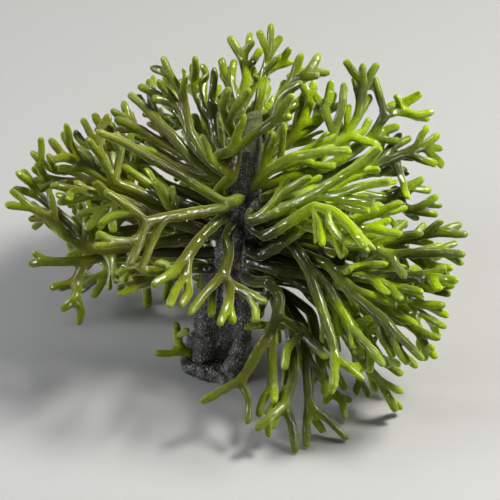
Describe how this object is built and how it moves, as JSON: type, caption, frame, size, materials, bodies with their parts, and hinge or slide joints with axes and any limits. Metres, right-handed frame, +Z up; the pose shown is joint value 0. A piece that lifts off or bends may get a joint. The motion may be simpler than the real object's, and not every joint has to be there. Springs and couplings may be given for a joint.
{
  "type": "codium seaweed",
  "caption": "Bushy green codium seaweed: forking round-tipped fronds on dark felted stipes, standing upright on a flat spongy holdfast.",
  "frame": {"origin": "on the holdfast's flat underside, near its middle", "axes": "+Z up from the ground the plant stands on; -Y towards the side shown in the picture; +X to that side's right, along the widest spread of the fronds"},
  "size_m": [0.2318, 0.1871, 0.1769],
  "materials": {
    "felt": "dark grey, matt and gritty, a spongy felt of fine threads",
    "frond": "wet, glossy olive to yellow-green with a fine velvety dot texture"
  },
  "bodies": {
    "root": {"holdfast": "felt", "stipe_main": "felt", "stipe_right": "felt", "stipe_back": "felt", "frond_front_left": "frond", "frond_front_fan": "frond", "frond_front_centre": "frond", "frond_mid_stalk": "frond", "frond_left_low": "frond", "frond_left_under": "frond", "frond_left_hook": "frond", "frond_left_bar": "frond", "frond_left_mid": "frond", "frond_left_fan": "frond", "frond_left_back": "frond", "frond_upper_left": "frond", "frond_upper_left_tall": "frond", "frond_upper_mid": "frond", "frond_top": "frond", "frond_top_right": "frond", "frond_crown": "frond", "frond_right_up": "frond", "frond_right_tall": "frond", "frond_right_arc": "frond", "frond_right_crook": "frond", "frond_right_bright": "frond", "frond_right_hang": "frond", "frond_right_diagonal": "frond", "frond_right_spear": "frond", "frond_right_reach": "frond", "frond_right_hand": "frond", "frond_right_rim": "frond", "frond_right_deep": "frond", "frond_right_shelf": "frond", "frond_right_comb": "frond", "frond_right_palm": "frond", "frond_right_slope": "frond", "frond_right_low": "frond", "frond_right_inner": "frond", "frond_right_under": "frond", "frond_drape_right": "frond", "frond_drape": "frond", "frond_drape_inner": "frond", "frond_drape_outer": "frond", "frond_floor": "frond", "sprouts": "frond", "sprout_hanging": "frond", "frond_back_left_low": "frond", "frond_back_low": "frond", "frond_back_right_low": "frond", "frond_back_left_side": "frond", "frond_back_left_mid": "frond", "frond_back_mid": "frond", "frond_back_right_mid": "frond", "frond_back_left_high": "frond", "frond_back_high": "frond", "frond_back_right_high": "frond", "frond_back_top": "frond"}
  },
  "joints": []
}
